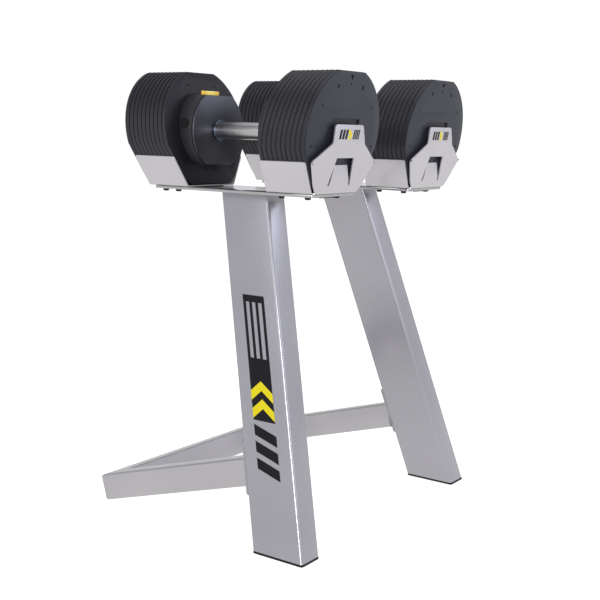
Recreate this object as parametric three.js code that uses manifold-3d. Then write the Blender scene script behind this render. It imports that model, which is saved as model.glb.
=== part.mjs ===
// Pair of adjustable dumbbells on their two-legged stand. Millimetres, +Z up, floor at z = 0.
// X runs from the left dumbbell to the right one, -Y is the front (the user's side).
import * as THREE from 'three';
import { mergeVertices } from 'three/addons/utils/BufferGeometryUtils.js';
import Module from 'manifold-3d';

const wasm = await Module();
wasm.setup();

// ---- driving dimensions ----------------------------------------------------
const GAP = 0.3;                 // clearance kept between touching pieces
const AXIS_X = 163;              // each dumbbell's axis, either side of the middle
const MID_Y = -24.9;             // the dumbbells' centre line in Y

const TRAY_TOP = 621;            // top of the two shelf trays
const TRAY_T = 5;
const TRAY_HALF_W = 66;
const TRAY_FRONT = -184;         // from the dumbbell's centre
const TRAY_REAR = 171;

const LEG_W = 52.6;              // leg tube, across X
const LEG_D = 105.5;             // leg tube, along Y
const LEG_R = 5;
const TUBE_WALL = 2.5;           // wall of the leg and frame tubes
const LEG_FOOT_X = 298.3;        // outer face at the floor
const LEG_TOP_X = 185.3;         // outer face under the tray
const LEG_FOOT_Y = -176.35;      // leg centre at the floor, from the dumbbells' centre
const LEG_TOP_Y = -4.5;          // leg centre under the tray
const CAP_T = 4;                 // rubber cap under the leg

const BASE_ANGLE = 16.5;         // degrees, rear frame slopes down to the back
const BASE_X = 265.6;            // outer face of the side arms
const BASE_W = 40.2;             // frame tube, across
const BASE_H = 50.6;             // frame tube, high
const BASE_REAR_Y = 264.6;       // bottom rear edge, from the dumbbells' centre
const FLANGE_T = 4.5;            // plate between an arm and its leg
const FLANGE_Z0 = 92;
const FLANGE_Z1 = 186;

const SHEET = 2.5;               // cradle sheet steel
const CRADLE_HALF_W = 66.3;      // at the tray
const CRADLE_TOP_HALF_W = 97.9;
const CRADLE_H = 54.1;           // height of the slanted sides
const CRADLE_IN = 88.35;         // open end, from the dumbbell's centre
const CRADLE_OUT = 182.9;        // closed end of the sides
const SIDE_LEAN = 0.14;          // outward lean of the sides' edges
const END_Y = 188.5;             // outer face of the end plate at the tray
const END_LEAN = 0.28;
const FRONT_END_HALF_W = [66.3, 96.9];   // end plate at the tray and at the sides' height
const REAR_END_HALF_W = [58, 72];        // the rear one is narrower and stays between the sides
const TAB_BEND_H = 85.4;
const TAB_TOP_H = 116.9;
const TAB_HALF_W = 42.5;
const NECK_HALF_W = 48.5;
const TONGUE_FOLD_H = 22;        // tongue cut from the end plate and bent inward
const TONGUE_TOP_H = 49;
const TONGUE_LEAN = 0.06;

const AXIS_H = 102.5;            // dumbbell axis above the tray top
const PLATES = 10;               // weight plates on each head
const PLATE_R = 111;
const PLATE_T = 7.6;              // full-width rim
const PLATE_WEB_T = 3.4;          // thinner web inside the rim
const PLATE_STEP = 1.6;           // the rim's outer edge steps in by this, almost to the next
const PLATE_RIM_W = 13;           // width of the rim ring
const PLATE_PITCH = 9.76;
const PLATE_LEAN = 0.15;         // plates and drum end lean outward by this slope
const PLATE_IN = 88;             // inner face of the first plate at tray height
const PLATE_TOP = 104;           // top flat above the axis
const PLATE_BOTTOM = -98;        // bottom flat below the axis
const PLATE_SIDE = 106.2;        // slanted side flats, from the axis
const SPACER_R = 34;             // round boss that spaces each plate from the next

const COVER_R = 72;              // hub cover disc
const COVER_FLAT = 62.6;
const COVER_IN = 72;             // its face towards the hand
const COVER_T = 3;
const DRUM_R = 75;
const DRUM_FLAT = 63;
const GRIP_D = 31;
const GRIP_BORE = 26;
const NECK_D = 27.4;

const BAR_W = 7;                 // selector bars
const BAR_H = 14;
const BAR_X = 5.5;
const BAR_TIP = 101;             // tip of a parked bar, from the centre
const BAR_TAIL = -50;

// ---- helpers -----------------------------------------------------------------
const group = new THREE.Group();
const rad = (deg) => deg * Math.PI / 180;

function toSolid(geometry) {
  const g = geometry.clone();
  g.deleteAttribute('normal');
  g.deleteAttribute('uv');
  const m = mergeVertices(g, 1e-4);
  const mesh = new wasm.Mesh({
    numProp: 3,
    vertProperties: new Float32Array(m.attributes.position.array),
    triVerts: new Uint32Array(m.index.array),
  });
  mesh.merge();
  return new wasm.Manifold(mesh);
}

function toGeometry(solid) {
  const m = solid.getMesh();
  const g = new THREE.BufferGeometry();
  g.setAttribute('position', new THREE.BufferAttribute(new Float32Array(m.vertProperties), 3));
  g.setIndex(new THREE.BufferAttribute(new Uint32Array(m.triVerts), 1));
  return g;
}

function put(name, geometry, color) {
  let g = geometry.index ? geometry.toNonIndexed() : geometry;
  g.computeVertexNormals();
  const material = new THREE.MeshStandardMaterial({ color });
  material.name = name;
  const mesh = new THREE.Mesh(g, material);
  mesh.name = name;
  group.add(mesh);
}

function shapeOf(points) {
  return new THREE.Shape(points.map(([x, y]) => new THREE.Vector2(x, y)));
}

// Extrudes an outline given in X and Z along +Y, from y = 0 to y = depth.
function prismY(points, depth, holes = []) {
  const shape = shapeOf(points);
  for (const hole of holes) {
    shape.holes.push(new THREE.Path(hole.map(([x, z]) => new THREE.Vector2(x, z))));
  }
  const g = new THREE.ExtrudeGeometry(shape, { depth, bevelEnabled: false });
  // (x, z, y) is a mirror image of (x, y, z), so each triangle is turned over as well.
  g.applyMatrix4(new THREE.Matrix4().set(1, 0, 0, 0, 0, 0, 1, 0, 0, 1, 0, 0, 0, 0, 0, 1));
  const p = g.attributes.position.array;
  for (let i = 0; i < p.length; i += 9) {
    for (let k = 3; k < 6; k += 1) {
      [p[i + k], p[i + k + 3]] = [p[i + k + 3], p[i + k]];
    }
  }
  return g;
}

// Leans a piece outward: y grows by slope for each unit of z.
function leanY(g, slope) {
  const m = new THREE.Matrix4().set(1, 0, 0, 0, 0, 1, slope, 0, 0, 0, 1, 0, 0, 0, 0, 1);
  return g.applyMatrix4(m);
}

function circlePoint(r, angle) {
  return [r * Math.cos(angle), r * Math.sin(angle)];
}

// Circle of points clipped by straight flats; each flat is [normal angle, distance].
function clippedCircle(r, segments, flats) {
  let points = [];
  for (let i = 0; i < segments; i += 1) {
    points.push(circlePoint(r, (i + 0.5) * 2 * Math.PI / segments));
  }
  for (const [angle, distance] of flats) {
    const nx = Math.cos(angle);
    const nz = Math.sin(angle);
    const side = ([x, z]) => x * nx + z * nz - distance;
    const next = [];
    points.forEach((p, i) => {
      const q = points[(i + 1) % points.length];
      const a = side(p);
      const b = side(q);
      if (a <= 0) {
        next.push(p);
      }
      if ((a < 0 && b > 0) || (a > 0 && b < 0)) {
        const t = a / (a - b);
        next.push([p[0] + t * (q[0] - p[0]), p[1] + t * (q[1] - p[1])]);
      }
    });
    points = next;
  }
  return points;
}

function roundedRect(w, d, r, steps) {
  const points = [];
  const corners = [[1, 1, 0], [-1, 1, 90], [-1, -1, 180], [1, -1, 270]];
  for (const [sx, sy, start] of corners) {
    for (let i = 0; i <= steps; i += 1) {
      const a = rad(start + 90 * i / steps);
      points.push([sx * (w / 2 - r) + r * Math.cos(a), sy * (d / 2 - r) + r * Math.sin(a)]);
    }
  }
  return points;
}

// ---- stand: legs, caps, rear frame, flanges, trays ------------------------------
const LEG_TOP_Z = TRAY_TOP - TRAY_T - GAP;
const splay = (LEG_TOP_X - LEG_FOOT_X) / (TRAY_TOP - TRAY_T);
const forward = (LEG_TOP_Y - LEG_FOOT_Y) / (TRAY_TOP - TRAY_T);

// A vertical run of the leg section from z0 to z1, slid sideways as the leg slopes.
function legRun(side, z0, z1, grow, hollow) {
  const shape = shapeOf(roundedRect(LEG_W + grow, LEG_D + grow, LEG_R, 3));
  if (hollow) {
    const inner = roundedRect(LEG_W - 2 * TUBE_WALL, LEG_D - 2 * TUBE_WALL, LEG_R - TUBE_WALL, 1);
    shape.holes.push(new THREE.Path(inner.map(([x, y]) => new THREE.Vector2(x, y))));
  }
  const g = new THREE.ExtrudeGeometry(shape, { depth: z1 - z0, bevelEnabled: false });
  g.translate(0, 0, z0);
  g.applyMatrix4(new THREE.Matrix4().set(
    1, 0, side * splay, side * (LEG_FOOT_X - LEG_W / 2),
    0, 1, forward, LEG_FOOT_Y + MID_Y,
    0, 0, 1, 0,
    0, 0, 0, 1));
  return g;
}

for (const [side, label] of [[-1, 'left'], [1, 'right']]) {
  put(`leg_${label}`, legRun(side, CAP_T + GAP, LEG_TOP_Z, 0, true), 0xb0b0b8);
  put(`foot_cap_${label}`, legRun(side, 0, CAP_T, -0.4, false), 0x1a1a1d);

  // Flange: flat plate lying on the leg's rear face.
  const flange = new THREE.BoxGeometry(LEG_W - 6, FLANGE_T, FLANGE_Z1 - FLANGE_Z0);
  flange.translate(0, 0, (FLANGE_Z0 + FLANGE_Z1) / 2);
  flange.applyMatrix4(new THREE.Matrix4().set(
    1, 0, side * splay, side * (LEG_FOOT_X - LEG_W / 2),
    0, 1, forward, LEG_FOOT_Y + MID_Y + LEG_D / 2 + GAP + FLANGE_T / 2,
    0, 0, 1, 0,
    0, 0, 0, 1));
  put(`flange_${label}`, flange, 0xb0b0b8);

  const tray = new THREE.BoxGeometry(TRAY_HALF_W * 2, TRAY_REAR - TRAY_FRONT, TRAY_T);
  tray.translate(side * AXIS_X, MID_Y + (TRAY_REAR + TRAY_FRONT) / 2, TRAY_TOP - TRAY_T / 2);
  put(`tray_${label}`, tray, 0xc8c8ce);
}

// Rear frame in its own plane: u runs along an arm from the rear edge towards the leg.
const armLength = 410;
function frameTube(outline, inset = 0) {
  const g = new THREE.ExtrudeGeometry(shapeOf(outline), {
    depth: BASE_H - 4 - 2 * inset, bevelEnabled: true, bevelThickness: 2, bevelSize: 2,
    bevelOffset: -2, bevelSegments: inset ? 1 : 2,
  });
  g.translate(0, 0, 2 + inset);
  g.rotateZ(Math.PI);
  g.rotateX(-rad(BASE_ANGLE));
  g.translate(0, BASE_REAR_Y + MID_Y, 0);
  return g;
}

const mitre = GAP / 2 * Math.SQRT2;
const t = TUBE_WALL;
const beam = toSolid(frameTube([
  [-BASE_X + mitre, 0], [BASE_X - mitre, 0],
  [BASE_X - BASE_W - mitre, BASE_W], [-BASE_X + BASE_W + mitre, BASE_W],
]));
const beamBore = toSolid(frameTube([
  [-BASE_X - 60, t], [BASE_X + 60, t], [BASE_X + 60, BASE_W - t], [-BASE_X - 60, BASE_W - t],
], t));
put('rear_beam', toGeometry(beam.subtract(beamBore)), 0xb8b4b3);

// The arm's front end is cut to the flange it is welded to.
const flangeFace = LEG_FOOT_Y + MID_Y + LEG_D / 2 + GAP + FLANGE_T + GAP;
const cutter = new THREE.BoxGeometry(900, 400, 600);
cutter.translate(0, -200, 200);
cutter.applyMatrix4(new THREE.Matrix4().set(
  1, 0, 0, 0, 0, 1, forward, flangeFace, 0, 0, 1, 0, 0, 0, 0, 1));
for (const [side, label] of [[1, 'left'], [-1, 'right']]) {
  const outline = [
    [side * BASE_X, mitre], [side * BASE_X, armLength],
    [side * (BASE_X - BASE_W), armLength], [side * (BASE_X - BASE_W), BASE_W + mitre],
  ];
  const bore = [
    [side * (BASE_X - t), -60], [side * (BASE_X - t), armLength + 60],
    [side * (BASE_X - BASE_W + t), armLength + 60], [side * (BASE_X - BASE_W + t), -60],
  ];
  if (side < 0) {
    outline.reverse();
    bore.reverse();
  }
  const arm = toSolid(frameTube(outline)).subtract(toSolid(frameTube(bore, t)));
  put(`base_arm_${label}`, toGeometry(arm.subtract(toSolid(cutter))), 0xb8b4b3);
}

// ---- pieces of one head, built for the rear (+Y) end about the dumbbell's centre ----
const flatAngle = -Math.atan2(CRADLE_TOP_HALF_W - CRADLE_HALF_W, CRADLE_H);
// The plate's outline moved inward: round, with flats on top, below and on the slants.
function plateOutline(inset, segments) {
  return clippedCircle(PLATE_R - inset, segments, [
    [Math.PI / 2, PLATE_TOP - inset],
    [-Math.PI / 2, -PLATE_BOTTOM - inset],
    [flatAngle, PLATE_SIDE - inset],
    [Math.PI - flatAngle, PLATE_SIDE - inset],
  ]).map(([x, z]) => [x, z + AXIS_H]);
}

const slot = [
  [BAR_X - BAR_W / 2 - 1.5, AXIS_H - BAR_H / 2 - 2], [BAR_X + BAR_W / 2 + 1.5, AXIS_H - BAR_H / 2 - 2],
  [BAR_X + BAR_W / 2 + 1.5, AXIS_H + BAR_H / 2 + 2], [BAR_X - BAR_W / 2 - 1.5, AXIS_H + BAR_H / 2 + 2],
];
const spacerOutline = clippedCircle(SPACER_R, 12, []).map(([x, z]) => [x, z + AXIS_H]);

function plateSolid(i) {
  const last = i === PLATES - 1;
  const y = PLATE_IN + i * PLATE_PITCH;
  const slab = (outline, from, to, holes = []) => {
    const g = prismY(outline, to - from, holes);
    g.translate(0, y + from, 0);
    return toSolid(leanY(g, PLATE_LEAN));
  };
  const end = PLATE_PITCH - GAP;
  if (last) {
    return slab(plateOutline(0, 40), 0, end)
      .subtract(slab(plateOutline(PLATE_RIM_W, 24), -1, end - PLATE_WEB_T))
      .add(slab(spacerOutline, 0, end - 1))
      .subtract(slab(slot, -1, end - 2.5));
  }
  return slab(plateOutline(0, 40), 0, PLATE_T, [slot])
    .add(slab(plateOutline(PLATE_STEP, 40), 1, end))
    .subtract(slab(plateOutline(PLATE_RIM_W, 24), PLATE_WEB_T, end + 1))
    .add(slab(spacerOutline, 1, end))
    .subtract(slab(slot, -1, end + 1));
}

function stackSolid() {
  let solid = plateSolid(0);
  for (let i = 1; i < PLATES; i += 1) {
    solid = solid.add(plateSolid(i));
    const y = PLATE_IN + i * PLATE_PITCH;
    const tie = prismY(spacerOutline, 2, [slot]);
    tie.translate(0, y - 1, 0);
    solid = solid.add(toSolid(leanY(tie, PLATE_LEAN)));
  }
  return solid;
}

// Cradle: one folded sheet with a floor, two slanted sides and an end plate with a tab.
function cradleSolid([endFoot, endWide]) {
  const w0 = CRADLE_HALF_W;
  const w1 = CRADLE_TOP_HALF_W;
  const len = Math.hypot(w1 - w0, CRADLE_H);
  const inX = SHEET * CRADLE_H / len;
  const inZ = SHEET * (w1 - w0) / len;
  const foot = w0 - SHEET * (len - (w1 - w0)) / CRADLE_H;
  const trough = prismY([
    [-w0, 0], [w0, 0], [w1, CRADLE_H], [w1 - inX, CRADLE_H + inZ],
    [foot, SHEET], [-foot, SHEET], [-w1 + inX, CRADLE_H + inZ], [-w1, CRADLE_H],
  ], CRADLE_OUT - CRADLE_IN);
  trough.translate(0, CRADLE_IN, 0);
  let solid = toSolid(leanY(trough, SIDE_LEAN));

  const lip = new THREE.BoxGeometry((endFoot - 3) * 2, END_Y - 1 - 170, SHEET);
  lip.translate(0, (END_Y - 1 + 170) / 2, SHEET / 2);
  solid = solid.add(toSolid(lip));

  const endShape = [
    [-endFoot, 0], [endFoot, 0], [endWide, CRADLE_H - 2], [endWide, CRADLE_H + 2],
    [NECK_HALF_W, TAB_BEND_H], [-NECK_HALF_W, TAB_BEND_H], [-endWide, CRADLE_H + 2], [-endWide, CRADLE_H - 2],
  ];
  // U-shaped cut round the tongue: an opening on top and a tapering slit down each side.
  const slit = (x) => [[x * 34.5, 14], [x * 30, 14], [x * 20, 50], [x * 28.6, 50]];
  const opening = [[-28.6, 49], [28.6, 49], [26.4, 61], [-26.4, 61]];
  const bent = [[-30, TONGUE_FOLD_H], [30, TONGUE_FOLD_H], [30, 50], [-30, 50]];
  const end = prismY(endShape, SHEET);
  end.translate(0, END_Y - SHEET, 0);
  let endSolid = toSolid(leanY(end, END_LEAN));
  for (const cut of [slit(1), slit(-1).reverse(), opening, bent]) {
    const tool = prismY(cut, SHEET + 2);
    tool.translate(0, END_Y - SHEET - 1, 0);
    endSolid = endSolid.subtract(toSolid(leanY(tool, END_LEAN)));
  }
  // The tongue is bent inward from its fold, nearly upright.
  const tongue = prismY([
    [-27.9, -0.8], [27.9, -0.8], [20, TONGUE_TOP_H - TONGUE_FOLD_H], [-20, TONGUE_TOP_H - TONGUE_FOLD_H],
  ], SHEET);
  leanY(tongue, TONGUE_LEAN);
  tongue.translate(0, END_Y - SHEET + END_LEAN * TONGUE_FOLD_H, TONGUE_FOLD_H);
  endSolid = endSolid.add(toSolid(tongue));
  const tab = prismY([
    [-NECK_HALF_W, TAB_BEND_H - 0.5], [NECK_HALF_W, TAB_BEND_H - 0.5],
    [TAB_HALF_W, TAB_TOP_H - 3], [TAB_HALF_W - 3, TAB_TOP_H],
    [-TAB_HALF_W + 3, TAB_TOP_H], [-TAB_HALF_W, TAB_TOP_H - 3],
  ], SHEET);
  tab.translate(0, END_Y - SHEET + END_LEAN * TAB_BEND_H, 0);
  endSolid = endSolid.add(toSolid(tab));
  return solid.add(endSolid);
}

// Drum behind the hub cover; its outer end leans with the plates.
function drumSolid() {
  const outline = clippedCircle(DRUM_R, 32, [[Math.PI / 2, DRUM_FLAT], [-Math.PI / 2, DRUM_FLAT]])
    .map(([x, z]) => [x, z + AXIS_H]);
  const start = COVER_IN + COVER_T + GAP;
  const body = prismY(outline, 50, [slot]);
  body.translate(0, start, 0);
  const knife = new THREE.BoxGeometry(300, 100, 400);
  knife.translate(0, 50 + PLATE_IN - 0.5, 100);
  return toSolid(body).subtract(toSolid(leanY(knife, PLATE_LEAN)));
}

function coverSolid() {
  const outline = clippedCircle(COVER_R, 40, [
    [Math.PI / 2, COVER_FLAT], [-Math.PI / 2, COVER_FLAT],
  ]).map(([x, z]) => [x, z + AXIS_H]);
  const bore = clippedCircle(GRIP_BORE / 2 - 1, 16, []).map(([x, z]) => [x, z + AXIS_H]);
  const g = prismY(outline, COVER_T, [bore]);
  g.translate(0, COVER_IN, 0);
  return toSolid(g);
}

function barSolid() {
  const g = new THREE.BoxGeometry(BAR_W, BAR_TIP - BAR_TAIL, BAR_H);
  g.translate(BAR_X, (BAR_TIP + BAR_TAIL) / 2, AXIS_H);
  return toSolid(g);
}

// Weight indicator window standing across the top of the drum.
function indicatorSolid() {
  const g = new THREE.BoxGeometry(47, 4.5, 7.6);
  g.translate(0, 94.25, AXIS_H + DRUM_FLAT + GAP + 3.8);
  return toSolid(g);
}

function place(name, solid, side, end, color) {
  const g = toGeometry(solid);
  if (end < 0) {
    g.rotateZ(Math.PI);
  }
  g.translate(side * AXIS_X, MID_Y, TRAY_TOP);
  put(name, g, color);
}

const cradles = {
  front: cradleSolid(FRONT_END_HALF_W).translate([0, 0, GAP]),
  rear: cradleSolid(REAR_END_HALF_W).translate([0, 0, GAP]),
};
const drum = drumSolid();
const cover = coverSolid();
const bar = barSolid();
const stack = stackSolid();
const ends = [[-1, 'front'], [1, 'rear']];

for (const [side, label] of [[-1, 'left'], [1, 'right']]) {
  for (const [end, endLabel] of ends) {
    place(`cradle_${label}_${endLabel}`, cradles[endLabel], side, end, 0xc4c0c2);
    place(`${label}_drum_${endLabel}`, drum, side, end, 0x2c2c32);
    place(`${label}_hub_cover_${endLabel}`, cover, side, end, 0x44444c);
    place(`${label}_selector_${endLabel}`, bar, side, end, 0x8a8a90);
    if (side < 0) {
      for (let i = 0; i < PLATES; i += 1) {
        place(`${label}_plate_${endLabel}_${i + 1}`, plateSolid(i), side, end, 0x2b2b30);
      }
    } else {
      place(`${label}_plates_${endLabel}`, stack, side, end, 0x2b2b30);
    }
  }
  place(`${label}_indicator`, indicatorSolid(), side, 1, 0xf0c030);

  // Grip: hollow twist handle with a narrower neck at each end.
  const half = COVER_IN - 0.4;
  const r = GRIP_D / 2;
  const profile = [
    [GRIP_BORE / 2 - 1, -half], [NECK_D / 2, -half], [NECK_D / 2, -half + 4], [r - 0.8, -half + 4.2],
    [r, -half + 5.2], [r, half - 5.2], [r - 0.8, half - 4.2], [NECK_D / 2, half - 4],
    [NECK_D / 2, half], [GRIP_BORE / 2 - 1, half], [GRIP_BORE / 2 - 1, -half],
  ];
  const grip = new THREE.LatheGeometry(profile.map(([x, y]) => new THREE.Vector2(x, y)), 32);
  grip.translate(side * AXIS_X, MID_Y, TRAY_TOP + AXIS_H);
  put(`${label}_grip`, grip, 0x9a9aa0);
}

export default group;
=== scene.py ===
"""A pair of twist-grip adjustable dumbbells parked on their two-legged stand.

The solids of the frame give every position; this script gives the pieces their finished
shapes and finishes. Metres, +Z up, the user stands at -Y.
"""
import math

import bmesh
import bpy
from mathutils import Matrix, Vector


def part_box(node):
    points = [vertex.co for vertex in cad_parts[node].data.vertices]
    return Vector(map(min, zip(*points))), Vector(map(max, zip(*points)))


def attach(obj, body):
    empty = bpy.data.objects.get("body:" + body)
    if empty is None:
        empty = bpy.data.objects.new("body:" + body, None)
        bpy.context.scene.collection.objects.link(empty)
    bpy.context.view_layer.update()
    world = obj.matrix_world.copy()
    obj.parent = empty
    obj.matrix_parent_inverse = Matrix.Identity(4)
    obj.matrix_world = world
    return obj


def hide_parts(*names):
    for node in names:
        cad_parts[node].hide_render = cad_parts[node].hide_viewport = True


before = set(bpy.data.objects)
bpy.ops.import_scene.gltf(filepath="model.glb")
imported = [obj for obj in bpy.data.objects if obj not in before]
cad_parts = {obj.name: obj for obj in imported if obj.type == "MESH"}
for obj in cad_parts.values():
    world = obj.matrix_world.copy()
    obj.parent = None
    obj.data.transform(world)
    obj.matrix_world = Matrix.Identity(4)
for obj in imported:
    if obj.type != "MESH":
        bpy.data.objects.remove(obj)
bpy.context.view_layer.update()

# ---- Studio ---------------------------------------------------------------------
# A pale floor that runs on into a white room, large soft lights above and on three sides,
# a narrow one that lines the rounded corners, and the camera to the left of the set.
scene = bpy.context.scene
scene.view_settings.view_transform = "Standard"

bpy.ops.object.select_all(action="DESELECT")
bpy.ops.mesh.primitive_plane_add(size=60)
floor = bpy.context.object
floor.name = "studio_floor"
floor_paint = bpy.data.materials.new("studio_floor_paint")
floor_paint.use_nodes = True
floor_nodes = floor_paint.node_tree.nodes
floor_links = floor_paint.node_tree.links
floor_shader = floor_nodes["Principled BSDF"]
floor_shader.inputs["Base Color"].default_value = (0.9, 0.9, 0.9, 1)
floor_shader.inputs["Roughness"].default_value = 0.9
floor_shader.inputs["Emission Color"].default_value = (1, 1, 1, 1)
floor_shader.inputs["Emission Strength"].default_value = 0.7
floor_bounce = floor_nodes.new("ShaderNodeEmission")
floor_bounce.inputs["Color"].default_value = (1, 0.985, 0.97, 1)
floor_bounce.inputs["Strength"].default_value = 0.84
floor_seen = floor_nodes.new("ShaderNodeLightPath")
floor_mix = floor_nodes.new("ShaderNodeMixShader")
floor_links.new(floor_seen.outputs["Is Camera Ray"], floor_mix.inputs[0])
floor_links.new(floor_bounce.outputs[0], floor_mix.inputs[1])
floor_links.new(floor_shader.outputs[0], floor_mix.inputs[2])
floor_links.new(floor_mix.outputs[0], floor_nodes["Material Output"].inputs["Surface"])
floor.data.materials.append(floor_paint)

room = bpy.data.worlds.new("white_room")
scene.world = room
room.use_nodes = True
room_nodes = room.node_tree.nodes
room_links = room.node_tree.links
room_light = room_nodes["Background"]
room_light.inputs["Strength"].default_value = 0.9
room_place = room_nodes.new("ShaderNodeTexCoord")
room_height = room_nodes.new("ShaderNodeSeparateXYZ")
room_tone = room_nodes.new("ShaderNodeValToRGB")
room_tone.color_ramp.interpolation = "EASE"
room_tone.color_ramp.elements[0].position = 0.0
room_tone.color_ramp.elements[0].color = (0.82, 0.82, 0.85, 1)
room_tone.color_ramp.elements[1].position = 1.0
room_tone.color_ramp.elements[1].color = (0.7, 0.7, 0.73, 1)
for height, grey in ((0.2, 0.8), (0.45, 0.26), (0.75, 0.34)):
    band = room_tone.color_ramp.elements.new(height)
    band.color = (grey, grey, grey * 1.04, 1)
room_wall = room_nodes.new("ShaderNodeBackground")
room_wall.inputs["Color"].default_value = (1, 1, 1, 1)
room_wall.inputs["Strength"].default_value = 1.0
room_seen = room_nodes.new("ShaderNodeLightPath")
room_mix = room_nodes.new("ShaderNodeMixShader")
room_links.new(room_place.outputs["Generated"], room_height.inputs[0])
room_links.new(room_height.outputs["Z"], room_tone.inputs[0])
room_links.new(room_tone.outputs[0], room_light.inputs["Color"])
room_links.new(room_seen.outputs["Is Camera Ray"], room_mix.inputs[0])
room_links.new(room_light.outputs[0], room_mix.inputs[1])
room_links.new(room_wall.outputs[0], room_mix.inputs[2])
room_links.new(room_mix.outputs[0], room_nodes["World Output"].inputs["Surface"])


def soft_light(name, place, aim, width, height, power, colour=(1, 1, 1)):
    """A rectangular softbox at a place, turned to face a point."""
    bpy.ops.object.select_all(action="DESELECT")
    bpy.ops.object.light_add(type="AREA", location=place)
    lamp = bpy.context.object
    lamp.name = name
    lamp.data.shape = "RECTANGLE"
    lamp.data.size = width
    lamp.data.size_y = height
    lamp.data.energy = power
    lamp.data.color = colour
    lamp.rotation_euler = (Vector(aim) - Vector(place)).to_track_quat("-Z", "Y").to_euler()
    return lamp


soft_light("overhead_softbox", (0.3, 0.2, 3.2), (0, 0, 0.5), 3.0, 3.0, 16)
soft_light("left_softbox", (-3.0, 0.6, 2.0), (0, 0, 0.5), 1.6, 2.0, 15)
soft_light("front_softbox", (0.4, -3.2, 1.6), (0, 0, 0.5), 1.8, 1.8, 16, (0.84, 0.87, 1))
soft_light("right_softbox", (2.3, -2.3, 1.9), (0, 0, 0.6), 1.4, 1.0, 8, (0.78, 0.82, 1))
soft_light("near_strip", (-2.9, -2.05, 1.2), (0, 0, 0.5), 0.45, 1.3, 44)

camera_data = bpy.data.cameras.new("camera")
camera_data.sensor_width = 36
camera_data.lens = 63.89
camera = bpy.data.objects.new("camera", camera_data)
camera.location = (-1.6956, -1.2159, 0.7292)
camera.rotation_euler = [math.radians(a) for a in (80.881, -1.266, -54.792)]
scene.collection.objects.link(camera)
scene.camera = camera

# ---- Legs -----------------------------------------------------------------------
# Rectangular steel tubes, welded under the trays, splayed outward and leaning forward.
# Their corners are drawn round, and they are powder coated in satin silver.
MM = 0.001
LEG_WIDTH = 52.6 * MM
LEG_DEPTH = 105.5 * MM
LEG_CORNER = 5 * MM


class Tint:
    """One output of a shader node, so that maths on it can be written as a formula."""

    def __init__(self, tree, socket):
        self.tree = tree
        self.socket = socket

    def node(self, kind, settings=None, sockets=None, output=0):
        """Adds a node of a kind with its settings, then fills or links its sockets."""
        node = self.tree.nodes.new(kind)
        for key, value in (settings or {}).items():
            setattr(node, key, value)
        for key, value in (sockets or {}).items():
            if isinstance(value, Tint):
                self.tree.links.new(value.socket, node.inputs[key])
            else:
                node.inputs[key].default_value = value
        return Tint(self.tree, node.outputs[output])

    def maths(self, operation, other, swap=False):
        """A maths node on this and another socket or number, the other one first on a swap."""
        first, second = (other, self) if swap else (self, other)
        return self.node("ShaderNodeMath", {"operation": operation}, {0: first, 1: second})

    def only(self, operation):
        """A maths node that takes one input."""
        return self.node("ShaderNodeMath", {"operation": operation}, {0: self})

    def axes(self):
        """The x, y and z of a vector, one by one."""
        x = self.node("ShaderNodeSeparateXYZ", None, {0: self})
        return [Tint(self.tree, out) for out in x.socket.node.outputs]

    def __add__(self, other):
        return self.maths("ADD", other)

    def __sub__(self, other):
        return self.maths("SUBTRACT", other)

    def __mul__(self, other):
        return self.maths("MULTIPLY", other)

    def __rsub__(self, other):
        return self.maths("SUBTRACT", other, swap=True)

    __radd__ = __add__
    __rmul__ = __mul__

    def grain(self, scale, detail=2.0, stretch=(1, 1, 1), roughness=0.5):
        """Soft noise from 0 to 1; scale is cells per metre, stretch lengthens them."""
        where = self.node(
            "ShaderNodeMapping", None, {"Vector": self, "Scale": [1 / s for s in stretch]}
        )
        return where.node(
            "ShaderNodeTexNoise", None,
            {"Vector": where, "Scale": scale, "Detail": detail, "Roughness": roughness},
        )

    def blend(self, low, high):
        """A colour between low, where this is 0, and high, where it is 1."""
        low, high = (c if isinstance(c, Tint) else (*c, 1) for c in (low, high))
        return self.node(
            "ShaderNodeMix", {"data_type": "RGBA"}, {"Factor": self, 6: low, 7: high}, output=2
        )

    def clip(self, low, high):
        """Stretches the span from low to high over 0 to 1, and stops at both ends."""
        return self.node("ShaderNodeMapRange", None, {"Value": self, 1: low, 2: high})

    def bump(self, height_mm, strength=1.0):
        return self.node(
            "ShaderNodeBump", None,
            {"Height": self, "Distance": height_mm * MM, "Strength": strength},
        )


def finish(name, **values):
    """A new material: returns it, its shader, and the place on the object as a Tint."""
    material = bpy.data.materials.new(name)
    material.use_nodes = True
    tree = material.node_tree
    shader = tree.nodes["Principled BSDF"]
    for key, value in values.items():
        shader.inputs[key.replace("_", " ").title().replace("Ior", "IOR")].default_value = value
    place = tree.nodes.new("ShaderNodeTexCoord")
    return material, shader, Tint(tree, place.outputs["Object"])


def wire(shader, **sockets):
    for key, tint in sockets.items():
        tint.tree.links.new(tint.socket, shader.inputs[key.replace("_", " ").title()])


def silver_coat(name, dark, light, roughness, metallic):
    """Silver powder coat: fine metal flake under a faint orange peel."""
    material, shader, place = finish(
        name, metallic=metallic, coat_weight=0.5, coat_roughness=0.1
    )
    cloud = place.grain(5, detail=3)
    flake = place.grain(2600, detail=1)
    tone = (cloud * 0.55 + flake * 0.45).clip(0.3, 0.7)
    rough = flake * 0.12 + (roughness - 0.06)
    peel = place.grain(420, detail=2) * 0.7 + flake * 0.3
    wire(shader, base_color=tone.blend(dark, light), roughness=rough, normal=peel.bump(0.04, 0.5))
    return material


def take(piece):
    """Makes a piece the only selected one."""
    bpy.ops.object.select_all(action="DESELECT")
    piece.select_set(True)
    bpy.context.view_layer.objects.active = piece


def settle():
    """Puts the selected piece's own move, turn and size into its mesh."""
    bpy.ops.object.transform_apply(location=True, rotation=True, scale=True)


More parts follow.
